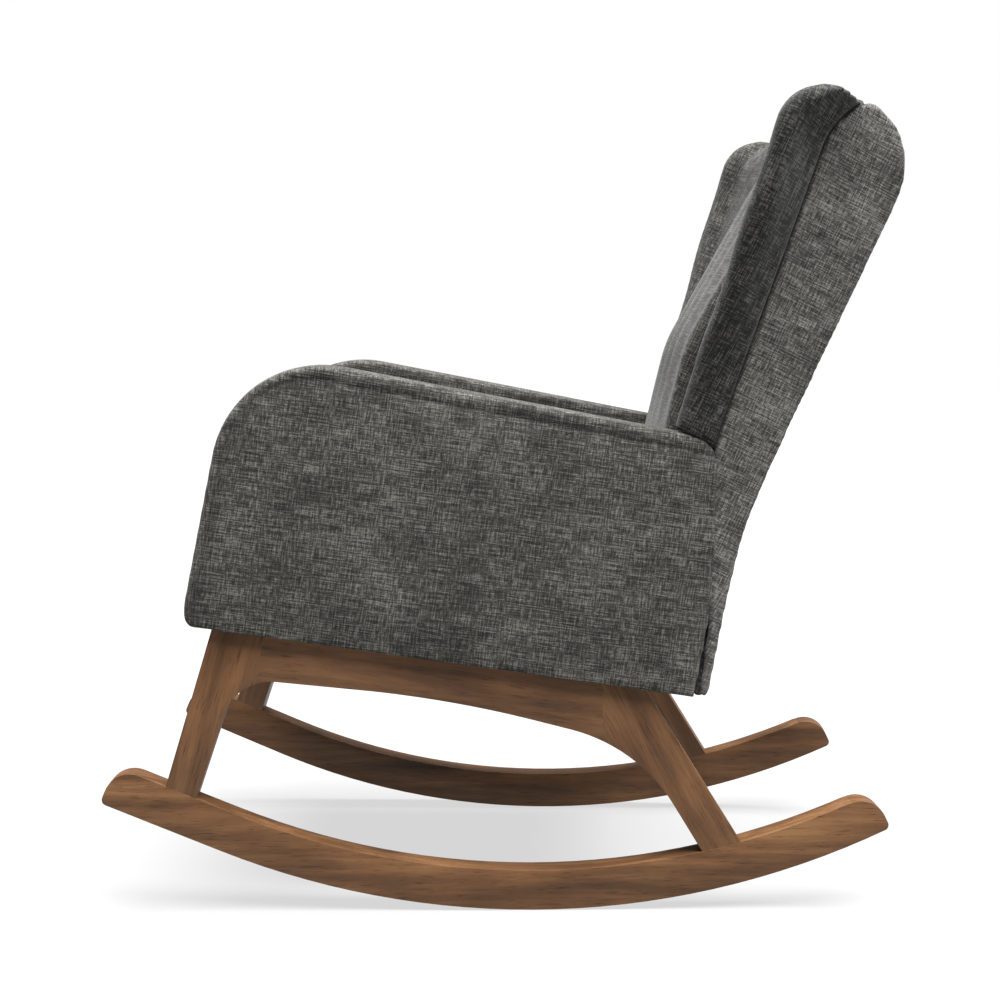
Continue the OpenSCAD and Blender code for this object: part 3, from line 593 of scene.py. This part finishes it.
# it may rise, but not press on its neighbours
cap = 0.0025 + 0.012 * smooth(in_body(rest)[:, 2], 0.13, 0.143)
length = np.linalg.norm(shift, axis=1).clip(1e-9)
move_points(piece, rest + shift * np.minimum(1, cap / length)[:, None])
modify(piece, "SUBSURF", levels=1, render_levels=1)
co = points(piece)
normal = points(piece, "vertices", "normal")
x, u, v = in_body(co).T
half = CUSHION_HALF_W - TOE_SLOPE * co[:, 1]
across, along = np.clip(np.abs(x) / half, 0, 1), np.clip((u - CUSHION_MID) / CUSHION_HALF_L, -1, 1)
crown = (1 - across ** 4) * (1 - along ** 4)
top = smooth(v, 0.12, 0.135)
rim = smooth(across, 0.93, 0.985) + smooth(np.abs(along), 0.95, 0.99)
seams = sum(groove(v - level, SEAM_W) for level in CUSHION_SEAMS) * rim.clip(0, 1)
move_points(piece, co + normal * (0.012 * crown * top - 0.0025 * seams)[:, None])
upholster(piece, ["seat_cushion"], [charcoal_linen], body="loose_cushion")

# Dust cover: a lining stretched over the underside of the seat frame
piece = copy_of("lining_dust_cover", "dust_cover")
mesh = bmesh.new()
mesh.from_mesh(piece.data)
flat_area = sum(f.calc_area() for f in mesh.faces) / 2
mesh.free()
finish_piece(piece, "chair", "black_lining", ["dust_cover"], spun_lining)

# ------------------------------------------------------------------ hidden nodes
for part in frame["record"]["subparts"]:
    node = nodes[part["node"]]
    if not node.hide_render:
        node.data.materials.clear()
        node.data.materials.append(SLOTS[part["material_slot"]])

# ------------------------------------------------------------------ stage, light and camera
FLOOR_SIZE, FLOOR_DROP = 40, 0.0005
SUN_FROM = (0.21, 0.26, 1.40)
CAMERA_AT = (2.6553, 0.0559, 0.6854)
PITCH, YAW = 0.08113, 0.02206       # the camera's, down and aside from looking along -x
bpy.ops.mesh.primitive_plane_add(size=FLOOR_SIZE, location=(0, 0, -FLOOR_DROP))
floor = bpy.context.object
floor.name = "floor"
paper = material("white_paper", Roughness=0.9, Base_Color=srgb("4c4c4c"),
                 Emission_Color=srgb("ffffff"), Emission_Strength=0.66)[0]
floor.data.materials.append(paper)

world = bpy.data.worlds.new("studio")
bpy.context.scene.world = world
world.use_nodes = True
sky = world.node_tree.nodes["Background"]
sky.inputs["Color"].default_value = (1, 1, 1, 1)
# the white backdrop shows at full strength, and lights the chair with a fifth of it
seen = add(world, "LightPath", output="Is Camera Ray")
fill(world, sky, {"Strength": add(world, "MapRange", {"Value": seen, "To Min": 0.2, "To Max": 1.0})})

light = bpy.data.lights.new("overhead", "SUN")
light.energy, light.angle = 18.0, math.radians(60)
lamp = bpy.data.objects.new("overhead", light)
lamp.rotation_euler = Vector(SUN_FROM).to_track_quat("Z", "Y").to_euler()
bpy.context.scene.collection.objects.link(lamp)

camera = bpy.data.cameras.new("camera")
camera.lens, camera.sensor_width = 72.6, 36
view = bpy.data.objects.new("camera", camera)
forward = Vector((-math.cos(PITCH) * math.cos(YAW), -math.cos(PITCH) * math.sin(YAW), -math.sin(PITCH)))
view.location = CAMERA_AT
view.rotation_euler = forward.to_track_quat("-Z", "Y").to_euler()
bpy.context.scene.collection.objects.link(view)
bpy.context.scene.camera = view
bpy.context.scene.view_settings.view_transform = "Standard"
